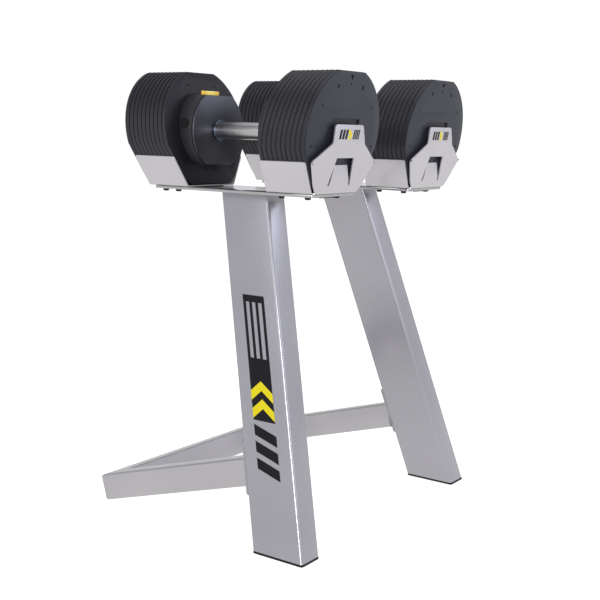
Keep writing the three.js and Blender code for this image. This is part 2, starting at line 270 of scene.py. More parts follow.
def block(name, low, high):
    """A block between two corners, its place in its mesh."""
    bpy.ops.object.select_all(action="DESELECT")
    middle = [(a + b) / 2 for a, b in zip(low, high)]
    bpy.ops.mesh.primitive_cube_add(size=1, location=middle)
    piece = bpy.context.object
    piece.name = name
    piece.scale = [b - a for a, b in zip(low, high)]
    settle()
    return piece


def pick(piece, kind, wanted):
    """Opens a piece in edit mode and selects the parts of it that pass a test."""
    if piece.mode != "EDIT":
        take(piece)
        bpy.ops.object.mode_set(mode="EDIT")
    bpy.ops.mesh.select_mode(type=kind)
    bpy.ops.mesh.select_all(action="DESELECT")
    mesh = bmesh.from_edit_mesh(piece.data)
    for part in {"VERT": mesh.verts, "EDGE": mesh.edges, "FACE": mesh.faces}[kind]:
        if wanted(part):
            part.select_set(True)
    mesh.select_flush_mode()
    bmesh.update_edit_mesh(piece.data)


def middle_of(edge):
    return (edge.verts[0].co + edge.verts[1].co) / 2


def run_of(edge):
    return (edge.verts[1].co - edge.verts[0].co).normalized()


def fold_of(edge):
    """The angle between an edge's two faces, or 0 on an open edge."""
    faces = edge.link_faces
    return faces[0].normal.angle(faces[1].normal) if len(faces) == 2 else 0


def close(piece, smooth=35):
    """Leaves edit mode and shades the piece smooth where its faces meet softly."""
    if piece.mode == "EDIT":
        bpy.ops.object.mode_set(mode="OBJECT")
    take(piece)
    bpy.ops.object.shade_smooth_by_angle(angle=math.radians(smooth))


def fit(piece, body, slot, paint, *stands_for):
    """Fits a finished piece: the body it moves with, its finish, the solids it stands for."""
    piece.data.materials.clear()
    piece.data.materials.append(paint)
    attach(piece, body)
    if stands_for:
        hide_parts(*stands_for)
    return piece


leg_paint = silver_coat("leg_silver", (0.37, 0.365, 0.4), (0.47, 0.465, 0.51), 0.27, 0.75)
leg_lean = {}
for side in ("left", "right"):
    low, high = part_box(f"leg_{side}")
    foot_x = low.x if side == "left" else high.x - LEG_WIDTH
    top_x = high.x - LEG_WIDTH if side == "left" else low.x
    slide = Vector((top_x - foot_x, high.y - LEG_DEPTH - low.y, 0))
    leg_lean[side] = slide / (high.z - low.z)
    leg = block(
        f"leg_tube_{side}",
        (foot_x, low.y, low.z), (foot_x + LEG_WIDTH, low.y + LEG_DEPTH, high.z),
    )
    pick(leg, "VERT", lambda v: v.co.z > 0.3)
    bpy.ops.transform.translate(value=slide)
    pick(leg, "EDGE", lambda e: abs(run_of(e).z) > 0.5)
    bpy.ops.mesh.bevel(offset=LEG_CORNER, segments=6)
    close(leg)
    fit(leg, "stand", "stand_paint", leg_paint, f"leg_{side}")

# ---- Foot caps --------------------------------------------------------------------
# Thin black rubber pads pushed onto the cut ends of the legs, with softened edges.
rubber, rubber_shader, place = finish("cap_rubber", specular_ior_level=0.25)
wire(
    rubber_shader,
    base_color=place.grain(90, detail=4).blend((0.006, 0.006, 0.007), (0.014, 0.014, 0.015)),
    roughness=place.grain(300) * 0.25 + 0.55,
    normal=place.grain(700, detail=3).bump(0.15, 0.6),
)
for side in ("left", "right"):
    low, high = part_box(f"foot_cap_{side}")
    cap = block(f"rubber_cap_{side}", low, high)
    pick(cap, "EDGE", lambda e: abs(run_of(e).z) > 0.9)
    bpy.ops.mesh.bevel(offset=LEG_CORNER, segments=6)
    pick(cap, "EDGE", lambda e: abs(run_of(e).z) < 0.1)
    bpy.ops.mesh.bevel(offset=0.7 * MM, segments=2)
    close(cap)
    fit(cap, "stand", "cap_rubber", rubber, f"foot_cap_{side}")

# ---- Rear frame -------------------------------------------------------------------
# Two side arms and a cross beam of rectangular tube, mitred and welded at the corners.
# It slopes down to the back at 16.5 degrees and is cut square to the leg flanges.
FRAME_SLOPE = math.radians(16.5)
FRAME_WIDTH = 40.2 * MM
FRAME_HEIGHT = 50.6 * MM
FRAME_REACH = 412 * MM
FRAME_CORNER = 4 * MM
MITRE_GAP = 0.2 * MM

frame_paint = silver_coat("frame_silver", (0.45, 0.44, 0.46), (0.55, 0.54, 0.56), 0.4, 0.6)
beam_low, beam_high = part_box("rear_beam")
frame_half = beam_high.x
frame_foot_y = beam_high.y - FRAME_HEIGHT * math.sin(FRAME_SLOPE)


def lay_on_slope(tube):
    """Tilts a tube of the frame about its lowest back edge."""
    bpy.ops.object.mode_set(mode="OBJECT")
    tube.rotation_euler = (-FRAME_SLOPE, 0, 0)
    tube.location = (0, frame_foot_y, 0)
    settle()


for side, sign in (("left", -1), ("right", 1)):
    outer, inner = sign * frame_half, sign * (frame_half - FRAME_WIDTH)
    arm = block(
        f"frame_arm_{side}",
        (min(outer, inner), -FRAME_REACH, 0), (max(outer, inner), 0, FRAME_HEIGHT),
    )
    pick(arm, "VERT", lambda v: v.co.y > -0.1 and abs(v.co.x) < frame_half - 0.02)
    bpy.ops.transform.translate(value=(0, -FRAME_WIDTH, 0))
    pick(arm, "EDGE", lambda e: abs(run_of(e).y) > 0.9)
    bpy.ops.mesh.bevel(offset=FRAME_CORNER, segments=5)
    pick(arm, "VERT", lambda v: v.co.y > -0.1)
    bpy.ops.transform.translate(value=(0, -MITRE_GAP, 0))
    lay_on_slope(arm)
    flange_low, flange_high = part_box(f"flange_{side}")
    lean = leg_lean[side].y
    face_at_floor = flange_high.y - lean * flange_high.z + 0.3 * MM
    pick(arm, "VERT", lambda v: True)
    bpy.ops.mesh.bisect(
        plane_co=(0, face_at_floor, 0), plane_no=(0, -1, lean),
        use_fill=True, clear_outer=True,
    )
    close(arm)
    fit(arm, "stand", "frame_paint", frame_paint, f"base_arm_{side}")

beam = block("frame_beam", (-frame_half, -FRAME_WIDTH, 0), (frame_half, 0, FRAME_HEIGHT))
inner_span = (frame_half - FRAME_WIDTH) / frame_half
pick(beam, "VERT", lambda v: v.co.y < -0.02)
bpy.ops.transform.resize(value=(inner_span, 1, 1), center_override=(0, 0, 0))
pick(beam, "EDGE", lambda e: abs(run_of(e).x) > 0.9)
bpy.ops.mesh.bevel(offset=FRAME_CORNER, segments=5)
pick(beam, "VERT", lambda v: True)
bpy.ops.transform.resize(value=(1 - MITRE_GAP / frame_half, 1, 1), center_override=(0, 0, 0))
lay_on_slope(beam)
close(beam)
fit(beam, "stand", "frame_paint", frame_paint, "rear_beam")

# ---- Flanges and their bolts --------------------------------------------------------
# A flat plate between each arm and its leg, held to the leg by two hexagon bolts above
# the arm and two below it.
FLANGE_WIDTH = 46.6 * MM
FLANGE_THICK = 4.5 * MM
BOLT_RADIUS = 4 * MM
BOLT_HIGH = 3.2 * MM
BOLT_OFF = 14 * MM

bolt_steel, bolt_shader, place = finish("bolt_black", specular_ior_level=0.3)
wire(
    bolt_shader,
    base_color=place.grain(500, detail=3).blend((0.008, 0.008, 0.009), (0.02, 0.02, 0.021)),
    roughness=place.grain(900) * 0.2 + 0.4,
    normal=place.grain(1500).bump(0.03, 0.5),
)
for side, sign in (("left", -1), ("right", 1)):
    low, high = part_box(f"flange_{side}")
    lean = leg_lean[side]
    x = low.x if side == "left" else high.x - FLANGE_WIDTH
    plate = block(
        f"arm_flange_{side}",
        (x, low.y, low.z), (x + FLANGE_WIDTH, low.y + FLANGE_THICK, high.z),
    )
    pick(plate, "VERT", lambda v: v.co.z > (low.z + high.z) / 2)
    bpy.ops.transform.translate(value=lean * (high.z - low.z))
    pick(plate, "EDGE", lambda e: abs(run_of(e).y) > 0.9)
    bpy.ops.mesh.bevel(offset=5 * MM, segments=4)
    pick(plate, "EDGE", lambda e: abs(run_of(e).y) < 0.5)
    bpy.ops.mesh.bevel(offset=0.5 * MM, segments=2)
    close(plate)
    fit(plate, "stand", "stand_paint", leg_paint, f"flange_{side}")
    for row, z in (("low", low.z + 7 * MM), ("high", high.z - 9 * MM)):
        for column, across in (("left", -1), ("right", 1)):
            bpy.ops.object.select_all(action="DESELECT")
            centre = Vector((x + FLANGE_WIDTH / 2, low.y + FLANGE_THICK, low.z))
            centre += lean * (z - low.z) + Vector((across * BOLT_OFF, 1.4 * MM, z - low.z))
            bpy.ops.mesh.primitive_cylinder_add(
                vertices=6, radius=BOLT_RADIUS, depth=BOLT_HIGH, location=centre,
                rotation=(math.pi / 2, 0, 0),
            )
            bolt = bpy.context.object
            bolt.name = f"flange_bolt_{side}_{row}_{column}"
            settle()
            pick(bolt, "FACE", lambda f: f.normal.y > 0.9)
            bpy.ops.mesh.inset(thickness=0.9 * MM)
            bpy.ops.transform.translate(value=(0, 0.5 * MM, 0))
            close(bolt, 20)
            fit(bolt, "stand", "bar_steel", bolt_steel)

# ---- Shelf trays --------------------------------------------------------------------
# A flat steel plate on top of each leg, lacquered glossy, with rounded corners.
tray_paint, tray_shader, place = finish(
    "tray_lacquer", metallic=0.95, coat_weight=0.3, coat_roughness=0.04
)
wire(
    tray_shader,
    base_color=place.grain(6, detail=3).blend((0.44, 0.435, 0.44), (0.54, 0.53, 0.535)),
    roughness=place.grain(30, detail=4) * 0.05 + 0.05,
    normal=place.grain(120).bump(0.02, 0.2),
)
for side in ("left", "right"):
    tray = block(f"tray_plate_{side}", *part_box(f"tray_{side}"))
    pick(tray, "EDGE", lambda e: abs(run_of(e).z) > 0.9)
    bpy.ops.mesh.bevel(offset=5 * MM, segments=5)
    pick(tray, "EDGE", lambda e: abs(run_of(e).z) < 0.1)
    bpy.ops.mesh.bevel(offset=0.7 * MM, segments=2)
    close(tray)
    fit(tray, "stand", "tray_paint", tray_paint, f"tray_{side}")

# ---- Cradles ------------------------------------------------------------------------
# One folded sheet under each head: a floor, two sides slanted outward and an end plate
# that leans back to a tab. A tongue is cut free in the end plate and bent inward.
SHEET = 2.5 * MM
FLOOR_HALF = 66.3 * MM
SIDE_HALF = 97.9 * MM
SIDE_HIGH = 54.1 * MM
CRADLE_GAP = 0.3 * MM
CRADLE_IN = 88.35 * MM
CRADLE_OUT = 182.9 * MM
SIDE_LEAN = 0.14
END_FOOT = 188.5 * MM
END_LEAN = 0.28
TONGUE_LEAN = 0.06
# On the end plate, all in mm: heights of its slits, window, folds and widest line, and half
# the widths of its window and tongue (foot, top), neck and tab.
SLIT_FOOT, WINDOW_TOP = 14, 61
TONGUE_FOLD, TONGUE_TOP = 22, 50
WIDEST_AT, NECK_AT, TAB_FOLD, TAB_TOP = 54.1, 85.4, 88, 116.9
WINDOW_HALF = (34.5, 26.4)
TONGUE_HALF = (30, 20)
NECK_HALF, TAB_HALF = 48.5, 42.5

cradle_paint = silver_coat("cradle_silver", (0.53, 0.515, 0.545), (0.63, 0.615, 0.65), 0.28, 0.55)
middle_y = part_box("left_grip")[0].y / 2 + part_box("left_grip")[1].y / 2
axis_x = {side: sum(v.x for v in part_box(f"{side}_grip")) / 2 for side in ("left", "right")}
axis_z = sum(v.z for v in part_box("left_grip")) / 2
tray_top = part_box("tray_left")[1].z


def end_row(face, h0, h1):
    """Whether a face belongs to the end plate between two heights."""
    centre = face.calc_center_median()
    return centre.y > END_FOOT and h0 * MM < centre.z < h1 * MM


def cut_line(piece, halves, h0, h1):
    """Cuts the end plate's rows along the two slanted lines that halve to these widths."""
    for sign in (-1, 1):
        across = Vector((h1 - h0, 0, halves[0] - halves[1])).normalized()
        pick(piece, "FACE", lambda f: end_row(f, h0, h1))
        bpy.ops.mesh.bisect(
            plane_co=(sign * halves[0] * MM, 0, h0 * MM),
            plane_no=(across.x, 0, sign * across.z),
        )


def in_window(face):
    """The slits beside the tongue and the opening above it."""
    centre = face.calc_center_median()
    x, h = abs(centre.x) / MM, centre.z / MM
    foot, top = WINDOW_HALF
    window_side = foot + (top - foot) * (h - SLIT_FOOT) / (WINDOW_TOP - SLIT_FOOT)
    foot, top = TONGUE_HALF
    tongue_side = foot + (top - foot) * (h - SLIT_FOOT) / (TONGUE_TOP - SLIT_FOOT)
    in_slit = h > TONGUE_TOP or x > tongue_side
    return end_row(face, SLIT_FOOT, WINDOW_TOP) and x < window_side and in_slit


def fold_cradle(end_foot, end_wide):
    """Folds one cradle from flat sheet; the end plate's half widths are in mm."""
    above_fold = end_foot + (end_wide - end_foot) * SLIT_FOOT / WIDEST_AT
    widths = [
        (0, end_foot - 4), (SLIT_FOOT, above_fold), (WIDEST_AT, end_wide),
        (NECK_AT, NECK_HALF), (TAB_TOP, TAB_HALF),
    ]

    def half(h):
        for (h0, w0), (h1, w1) in zip(widths, widths[1:]):
            if h <= h1:
                return w0 + (w1 - w0) * (h - h0) / (h1 - h0)

    bpy.ops.object.select_all(action="DESELECT")
    bpy.ops.mesh.primitive_plane_add(size=1, location=(0, (CRADLE_IN + END_FOOT) / 2, 0))
    sheet = bpy.context.object
    sheet.name = "cradle"
    sheet.scale = (2 * FLOOR_HALF, END_FOOT - CRADLE_IN, 1)
    settle()
    pick(sheet, "VERT", lambda v: True)
    bpy.ops.mesh.bisect(plane_co=(0, CRADLE_OUT, 0), plane_no=(0, 1, 0))
    for sign in (-1, 1):
        pick(sheet, "EDGE", lambda e: abs(middle_of(e).x - sign * FLOOR_HALF) < 1e-5
             and middle_of(e).y < CRADLE_OUT and abs(middle_of(e).z) < 1e-5)
        bpy.ops.mesh.extrude_edges_move(TRANSFORM_OT_translate={
            "value": (sign * (SIDE_HALF - FLOOR_HALF), SIDE_LEAN * SIDE_HIGH, SIDE_HIGH)})

    # The end plate grows upward row by row from the floor's outer edge.
    pick(sheet, "EDGE", lambda e: abs(middle_of(e).y - END_FOOT) < 1e-5 and abs(run_of(e).x) > 0.9)
    bpy.ops.transform.resize(value=(half(0) * MM / FLOOR_HALF, 1, 1), center_override=(0, 0, 0))
    rows = [0, SLIT_FOOT, TONGUE_FOLD, TONGUE_TOP, WIDEST_AT, WINDOW_TOP, NECK_AT, TAB_FOLD, TAB_TOP]
    for h0, h1 in zip(rows, rows[1:]):
        lean = END_LEAN if h1 <= TAB_FOLD else 0
        bpy.ops.mesh.extrude_edges_move(TRANSFORM_OT_translate={
            "value": (0, lean * (h1 - h0) * MM, (h1 - h0) * MM)})
        bpy.ops.transform.resize(value=(half(h1) / half(h0), 1, 1), center_override=(0, 0, 0))
    cut_line(sheet, WINDOW_HALF, SLIT_FOOT, WINDOW_TOP)
    cut_line(sheet, TONGUE_HALF, SLIT_FOOT, TONGUE_TOP)
    pick(sheet, "FACE", in_window)
    bpy.ops.mesh.delete(type="FACE")
    pick(sheet, "VERT", lambda v: abs(v.co.z - TONGUE_TOP * MM) < 1e-5
         and abs(v.co.x) < (TONGUE_HALF[1] + 1) * MM)
    tongue = (TONGUE_TOP - TONGUE_FOLD) * MM
    bpy.ops.transform.translate(value=(0, (TONGUE_LEAN - END_LEAN) * tongue, -1 * MM))

    # Folds are rounded, then the outline's corners, then the sheet gets its thickness.
    pick(sheet, "EDGE", lambda e: fold_of(e) > 0.1)
    bpy.ops.mesh.bevel(offset=2.5 * MM, segments=4)
    pick(sheet, "VERT", lambda v: v.is_boundary and (
        v.co.z > (TAB_TOP - 1) * MM or (abs(v.co.x) > 90 * MM and v.co.z > TONGUE_TOP * MM)))
    bpy.ops.mesh.bevel(offset=4 * MM, segments=4, affect="VERTICES")
    pick(sheet, "FACE", lambda f: True)
    bpy.ops.mesh.normals_make_consistent(inside=False)
    lowest = min(bmesh.from_edit_mesh(sheet.data).faces, key=lambda f: f.calc_center_median().z)
    if lowest.normal.z > 0:
        bpy.ops.mesh.flip_normals()
    bpy.ops.object.mode_set(mode="OBJECT")
    thicken = sheet.modifiers.new("sheet", "SOLIDIFY")
    thicken.thickness = SHEET
    thicken.offset = -1
    bpy.ops.object.modifier_apply(modifier="sheet")
    soften = sheet.modifiers.new("edges", "BEVEL")
    soften.width = 0.8 * MM
    soften.segments = 3
    soften.limit_method = "ANGLE"
    soften.angle_limit = math.radians(50)
    bpy.ops.object.modifier_apply(modifier="edges")
    return sheet


def copy_to(master, name, x, end, height):
    """Copies a piece built for a rear head to a dumbbell's front or rear end."""
    piece = master.copy()
    piece.data = master.data.copy()
    piece.name = name
    scene.collection.objects.link(piece)
    piece.location = (x, middle_y, height)
    piece.rotation_euler = (0, 0, math.pi if end == "front" else 0)
    take(piece)
    settle()
    return piece


for end, widths in (("front", (66.3, 97.9)), ("rear", (58, 73))):
    cradle = fold_cradle(*widths)
    for side in ("left", "right"):
        piece = copy_to(
            cradle, f"cradle_sheet_{side}_{end}", axis_x[side], end, tray_top + CRADLE_GAP
        )
        close(piece, 40)
        fit(piece, "stand", "cradle_paint", cradle_paint, f"cradle_{side}_{end}")
    bpy.data.objects.remove(cradle)

# ---- Weight plates ------------------------------------------------------------------
# Ten round steel plates on each head, flat on top and below, with slanted flats that
# sit in the cradle. All lean outward, and each has a slightly smaller step on its outer
# side that brings it up against the next.
PLATE_RADIUS = 111 * MM
PLATE_TOP = 104 * MM
PLATE_BOTTOM = 98 * MM
PLATE_SIDE = 106.2 * MM
PLATE_RIM = 7.6 * MM
PLATE_STEP = 1 * MM
PLATE_PITCH = 9.76 * MM
JOINT_GAP = 0.3 * MM
PLATE_THICK = PLATE_PITCH - JOINT_GAP
PLATE_LEAN = 0.15
PLATE_IN = 88 * MM
PLATE_COUNT = 10
AXIS_HIGH = axis_z - tray_top
SLOT_HALF = (5 * MM, 9 * MM)
SLOT_X = 5.5 * MM


def plate_coat():
    """Satin black coat over steel, matt on the steps between the rims. Painted shade darkens those
    steps and the innermost plates' inner faces; painted light greys the outer plates' own outer
    faces."""
    material, shader, place = finish("plate_coat", metallic=0.25)
    x, along, height = place.axes()
    out = (along - middle_y).only("ABSOLUTE")
    count = (out - (height - tray_top) * PLATE_LEAN - PLATE_IN) * (1 / PLATE_PITCH)
    phase = count.only("FRACT")
    # Painted shade: the steps between the rims are painted darker, for the shadow in the grooves
    # between the plates.
    step = phase.clip(0.78, 0.81) * (1 - phase.clip(0.95, 0.98))
    pebble = place.grain(1500, detail=3)
    cloud = place.grain(9, detail=4)
    tone = (cloud * 0.7 + pebble * 0.3).clip(0.3, 0.7)
    coat = tone.blend((0.016, 0.0165, 0.023), (0.028, 0.029, 0.037))
    # Painted shade: the innermost plate's inner face, beside the hub, is painted darker for the
    # light that the hub and the other head keep off it.
    inside = 1 - count.clip(0.03, 0.06)
    coat = inside.blend(coat, tone.blend((0.009, 0.009, 0.012), (0.016, 0.016, 0.021)))
    # Painted light: the outermost plate's outer face is painted a lighter, bluish grey for the light
    # that falls on it from the front.
    painted_light_outer_face = count.clip(PLATE_COUNT - 0.06, PLATE_COUNT - 0.04)
    coat = painted_light_outer_face.blend(coat, tone.blend((0.025, 0.0275, 0.04), (0.037, 0.041, 0.057)))
    wire(
        shader, base_color=(step * (1 - painted_light_outer_face)).blend(coat, (0.01, 0.01, 0.013)),
        roughness=cloud * 0.12 + pebble * 0.1 + step * 0.25 + 0.34,
        normal=pebble.bump(0.06, 0.5),
    )
    return material


plate_paint = plate_coat()


def cylinder(name, radius, y0, y1, sides, x=0, z=0):
    """A round bar along Y between two stations."""
    bpy.ops.object.select_all(action="DESELECT")
    bpy.ops.mesh.primitive_cylinder_add(
        vertices=sides, radius=radius, depth=y1 - y0, location=(x, (y0 + y1) / 2, z),
        rotation=(math.pi / 2, 0, 0),
    )
    piece = bpy.context.object
    piece.name = name
    settle()
    return piece


def flatten(piece, normal, distance):
    """Cuts a flat across a round piece and closes it."""
    pick(piece, "VERT", lambda v: True)
    normal = Vector(normal).normalized()
    bpy.ops.mesh.bisect(
        plane_co=normal * distance, plane_no=normal, use_fill=True, clear_outer=True
    )


def cut_away(piece, tool):
    """Cuts a tool's shape out of a piece and throws the tool away."""
    take(piece)
    cut = piece.modifiers.new("cut", "BOOLEAN")
    cut.operation = "DIFFERENCE"
    cut.solver = "EXACT"
    cut.object = tool
    bpy.ops.object.modifier_apply(modifier="cut")
    bpy.data.objects.remove(tool)


def weld(piece, *others):
    """Joins other pieces to the first."""
    take(piece)
    for other in others:
        other.select_set(True)
    bpy.ops.object.join()


def plate_disc(name, stepped):
    """A plate about its own centre, its inner face at y = 0, before its holes."""
    disc = cylinder(name, PLATE_RADIUS, 0, PLATE_RIM if stepped else PLATE_THICK, 128)
    flatten(disc, (0, 0, 1), PLATE_TOP)
    flatten(disc, (0, 0, -1), PLATE_BOTTOM)
    slant = math.atan2(SIDE_HALF - FLOOR_HALF, SIDE_HIGH)
    for sign in (-1, 1):
        flatten(disc, (sign * math.cos(slant), 0, -math.sin(slant)), PLATE_SIDE)
    if stepped:
        pick(disc, "FACE", lambda f: f.normal.y > 0.9)
        bpy.ops.mesh.inset(thickness=PLATE_STEP)
        bpy.ops.mesh.extrude_region_move(TRANSFORM_OT_translate={
            "value": (0, PLATE_THICK - PLATE_RIM, 0)})
    pick(disc, "EDGE", lambda e: abs(run_of(e).y) < 0.1 and e.is_convex and fold_of(e) > 1)
    bpy.ops.mesh.bevel(offset=0.6 * MM, segments=2)
    bpy.ops.object.mode_set(mode="OBJECT")
    return disc


def drill(name, spots, radius, y0, y1):
    """A set of round cutters at (x, z) spots, in mm, joined into one tool."""
    bits = [
        cylinder(name, radius, y0, y1, 20, x * MM, z * MM) for x, z in spots
    ]
    if len(bits) > 1:
        weld(*bits)
    return bits[0]


def tilt(piece, leaning=PLATE_LEAN):
    """Leans a finished plate outward about its axis height."""
    take(piece)
    piece.scale = (1, 1, math.hypot(1, leaning))
    settle()
    piece.rotation_euler = (-math.atan(leaning), 0, 0)
    settle()


def slot_tool(y0, y1):
    return block(
        "slot", (SLOT_X - SLOT_HALF[0], y0, -SLOT_HALF[1]),
        (SLOT_X + SLOT_HALF[0], y1, SLOT_HALF[1]),
    )


inner_plate = plate_disc("plate", True)
cut_away(inner_plate, slot_tool(-0.01, 0.03))
pins = [(-37, 81), (37, 81), (-13.5, -70), (13.5, -70), (-66, -62), (66, -62)]
cut_away(inner_plate, drill("pins", pins, 2.1 * MM, -5 * MM, 2.5 * MM))
cut_away(inner_plate, drill("pins", [(-83, 3), (83, 3)], 4.5 * MM, -5 * MM, 3 * MM))
tilt(inner_plate)

outer_plate = plate_disc("plate", False)
cut_away(outer_plate, slot_tool(-0.01, 6 * MM))
marks = [(0, 83), (-76, 46), (76, 46), (-93, -20.5), (93, -20.5)]
cut_away(outer_plate, drill("marks", marks, 1.9 * MM, 6.4 * MM, 15 * MM))
for x in (-37.5, 37.5):
    keyhole = block(
        "keyhole", ((x - 2) * MM, 6 * MM, 75 * MM), ((x + 2) * MM, 15 * MM, 82 * MM)
    )
    cut_away(outer_plate, keyhole)
recess = block("recess", (-42 * MM, PLATE_THICK - 3 * MM, 10 * MM), (42 * MM, 0.02, 26 * MM))
cut_away(outer_plate, recess)
bpy.ops.object.select_all(action="DESELECT")
bpy.ops.mesh.primitive_cylinder_add(
    vertices=3, radius=5.6 * MM, depth=6 * MM, location=(0, PLATE_THICK, 95 * MM),
    rotation=(-math.pi / 2, 0, 0),
)
pointer = bpy.context.object
settle()
cut_away(outer_plate, pointer)
tilt(outer_plate)

for side in ("left", "right"):
    for end in ("front", "rear"):
        for number in range(1, PLATE_COUNT + 1):
            master = outer_plate if number == PLATE_COUNT else inner_plate
            piece = copy_to(
                master, f"weight_plate_{side}_{end}_{number}", axis_x[side], end, axis_z
            )
            step = PLATE_IN + PLATE_LEAN * AXIS_HIGH + (number - 1) * PLATE_PITCH
            piece.location = (0, step if end == "rear" else -step, 0)
            settle()
            close(piece, 30)
            node = f"left_plate_{end}_{number}" if side == "left" else f"right_plates_{end}"
            fit(piece, f"{side}_weights_{end}", "plate_metal", plate_paint, node)
bpy.data.objects.remove(inner_plate)
bpy.data.objects.remove(outer_plate)

# ---- Drums --------------------------------------------------------------------------
# The black moulded housing behind each hub cover: round, flat on top for the indicator,
# its far face leaning with the plates, with a round plug on its outer side.
DRUM_RADIUS = 75 * MM
DRUM_FLAT = 63 * MM
COVER_IN = 72 * MM
COVER_THICK = 3 * MM
PLUG_RADIUS = 9 * MM
PLUG_SPOT = (-74 * MM, 90 * MM, 12 * MM)

drum_black, drum_shader, place = finish("drum_black", specular_ior_level=0.4)
wire(
    drum_shader,
    base_color=place.grain(30, detail=3).blend((0.017, 0.017, 0.021), (0.028, 0.028, 0.033)),
    roughness=place.grain(600) * 0.15 + 0.42,
    normal=place.grain(1100, detail=2).bump(0.05, 0.5),
)
drum = cylinder("drum", DRUM_RADIUS, COVER_IN + COVER_THICK + JOINT_GAP, 130 * MM, 96)
flatten(drum, (0, 0, 1), DRUM_FLAT)
flatten(drum, (0, 0, -1), DRUM_FLAT)
face_y = PLATE_IN - 0.5 * MM + PLATE_LEAN * AXIS_HIGH
pick(drum, "VERT", lambda v: True)
bpy.ops.mesh.bisect(
    plane_co=(0, face_y, 0), plane_no=(0, 1, -PLATE_LEAN), use_fill=True, clear_outer=True
)
pick(drum, "EDGE", lambda e: fold_of(e) > 0.6)
bpy.ops.mesh.bevel(offset=1.2 * MM, segments=3)
bpy.ops.object.mode_set(mode="OBJECT")
cut_away(drum, slot_tool(0.06, 0.2))

bpy.ops.object.select_all(action="DESELECT")
bpy.ops.mesh.primitive_cylinder_add(
    vertices=40, radius=PLUG_RADIUS, depth=7 * MM, location=PLUG_SPOT,
    rotation=(0, math.pi / 2, 0),
)
plug = bpy.context.object
plug.name = "plug"
settle()
pick(plug, "FACE", lambda f: f.normal.x < -0.9)
bpy.ops.mesh.inset(thickness=1.6 * MM)
bpy.ops.mesh.extrude_region_move(TRANSFORM_OT_translate={"value": (1.8 * MM, 0, 0)})
pick(plug, "EDGE", lambda e: middle_of(e).x < -77 * MM and fold_of(e) > 1)
bpy.ops.mesh.bevel(offset=0.5 * MM, segments=2)
bpy.ops.object.mode_set(mode="OBJECT")
for side in ("left", "right"):
    for end in ("front", "rear"):
        piece = copy_to(drum, f"hub_drum_{side}_{end}", axis_x[side], end, axis_z)
        close(piece)
        fit(piece, f"{side}_handle", "drum_plastic", drum_black, f"{side}_drum_{end}")
        piece = copy_to(plug, f"drum_plug_{side}_{end}", axis_x[side], end, axis_z)
        close(piece)
        fit(piece, f"{side}_handle", "drum_plastic", rubber)
bpy.data.objects.remove(drum)
bpy.data.objects.remove(plug)

# ---- Hub covers ---------------------------------------------------------------------
# A turned steel disc closes each drum, cut flat at the top and bottom, with a small
# bright chamfer round its edge and a steel collar where the grip enters it.
COVER_RADIUS = 72 * MM
COVER_FLAT = 62.6 * MM
COLLAR_RADIUS = 19 * MM
COLLAR_HIGH = 5 * MM



def cover_coat(side):
    """Dark blued steel with painted light and shade: lighter at the disc's upper left, darker
    towards its lower right.
    """
    material, shader, place = finish(f"cover_coat_{side}", metallic=0.75)
    x, along, height = place.axes()
    # Painted highlight and shade: the colour runs from light at the disc's upper left to dark at its
    # lower right, as light falls across it, with a little random tone added.
    painted_shade_slope = (x - axis_x[side]) * 0.5 - (height - axis_z)
    tone = (painted_shade_slope.clip(-0.06, 0.06) + place.grain(12, detail=3) * 0.3).clip(0.1, 1.15)
    wire(
        shader, base_color=tone.blend((0.125, 0.126, 0.15), (0.034, 0.034, 0.044)),
        roughness=place.grain(900, detail=2) * 0.12 + 0.28,
        normal=place.grain(1300).bump(0.03, 0.4),
    )
    return material


cover_paint = {side: cover_coat(side) for side in ("left", "right")}
collar_paint, collar_shader, place = finish("collar_steel", metallic=1.0)
wire(
    collar_shader,
    base_color=place.grain(200, detail=2).blend((0.13, 0.16, 0.2), (0.22, 0.26, 0.32)),
    roughness=place.grain(700) * 0.15 + 0.15,
    normal=place.grain(1500).bump(0.02, 0.3),
)
cover = cylinder("cover", COVER_RADIUS, COVER_IN, COVER_IN + COVER_THICK, 128)
flatten(cover, (0, 0, 1), COVER_FLAT)
flatten(cover, (0, 0, -1), COVER_FLAT)
pick(cover, "EDGE", lambda e: middle_of(e).y < COVER_IN + 0.1 * MM and fold_of(e) > 1)
bpy.ops.mesh.bevel(offset=1.2 * MM, segments=3)
bpy.ops.object.mode_set(mode="OBJECT")
cut_away(cover, cylinder("bore", 12 * MM, 0.05, 0.1, 32))
collar = cylinder(
    "collar", COLLAR_RADIUS, COVER_IN - COLLAR_HIGH, COVER_IN + 0.5 * MM, 64
)
pick(collar, "FACE", lambda f: f.normal.y < -0.9)
bpy.ops.mesh.inset(thickness=4 * MM)
bpy.ops.mesh.extrude_region_move(TRANSFORM_OT_translate={"value": (0, 4 * MM, 0)})
pick(collar, "EDGE", lambda e: middle_of(e).y < COVER_IN - COLLAR_HIGH + 0.1 * MM)
bpy.ops.mesh.bevel(offset=0.8 * MM, segments=3)
bpy.ops.object.mode_set(mode="OBJECT")
for side in ("left", "right"):
    for end in ("front", "rear"):
        piece = copy_to(cover, f"hub_disc_{side}_{end}", axis_x[side], end, axis_z)
        close(piece)
        fit(piece, f"{side}_handle", "cover_metal", cover_paint[side], f"{side}_hub_cover_{end}")
        piece = copy_to(collar, f"grip_collar_{side}_{end}", axis_x[side], end, axis_z)
        close(piece)
        fit(piece, f"{side}_handle", "cover_metal", collar_paint)
bpy.data.objects.remove(cover)
bpy.data.objects.remove(collar)

# ---- Weight indicators --------------------------------------------------------------
# A yellow strip behind a clear window, set across the top of each rear drum.


